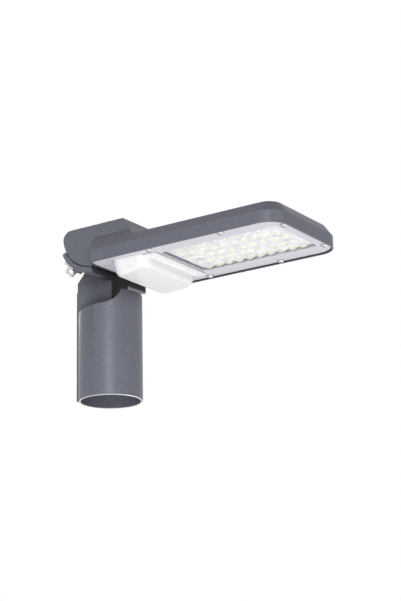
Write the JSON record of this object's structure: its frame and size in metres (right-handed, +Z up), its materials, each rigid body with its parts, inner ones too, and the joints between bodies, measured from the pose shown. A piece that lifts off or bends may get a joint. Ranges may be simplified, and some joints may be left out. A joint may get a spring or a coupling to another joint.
{
  "type": "led street light head",
  "caption": "LED street light head: flat cast head with lens panel and white driver cover, rocking in a cradle on a pole-top adapter.",
  "frame": {"origin": "centre of the pole socket's mouth, at the lower end of the adapter tube", "axes": "+Z up the pole socket's axis, +X along the head to its free end, Y across the head"},
  "size_m": [0.2813, 0.124, 0.176],
  "materials": {
    "dark_casting": "grey fine-textured powder coat on die-cast aluminium",
    "steel_screw": "zinc-plated steel",
    "stainless": "plain stainless steel",
    "pale_plate": "smooth pale grey coat",
    "clear_lens": "clear moulded polycarbonate",
    "seal_rubber": "matt black silicone",
    "board_white": "white solder mask on aluminium",
    "led_phosphor": "yellow phosphor in clear resin",
    "thermal_grey": "soft grey filled silicone",
    "white_cover": "smooth white moulded plastic",
    "driver_case": "matt off-white plastic",
    "surge_case": "matt dark blue plastic",
    "terminal_plastic": "pale grey nylon",
    "brass_screw": "plain brass",
    "black_nylon": "black nylon"
  },
  "bodies": {
    "adapter": {"pole_adapter": "dark_casting", "pole_set_screws": "steel_screw"},
    "head": {"head_housing": "dark_casting", "base_plate": "pale_plate", "panel_screws": "steel_screw", "lens_panel": "clear_lens", "lens_gasket": "seal_rubber", "led_board": "board_white", "led_chips": "led_phosphor", "thermal_pad": "thermal_grey", "board_screws": "steel_screw", "driver_cover": "white_cover", "led_driver": "driver_case", "driver_screws": "steel_screw", "surge_protector": "surge_case", "surge_screws": "steel_screw", "terminal_block": "terminal_plastic", "earth_screw": "brass_screw", "cable_gland": "black_nylon", "gland_nut": "black_nylon", "gland_seal": "seal_rubber", "tilt_bolts": "stainless", "tilt_washers": "stainless", "tilt_spring_washers": "stainless", "tilt_saddles": "stainless"}
  },
  "joints": [
    {"name": "head_tilt", "type": "hinge", "parent": "adapter", "child": "head", "pos_m": [0.0137, 0, 0.1712], "axis": [0, -1, 0], "range_deg": [-5, 15]}
  ]
}
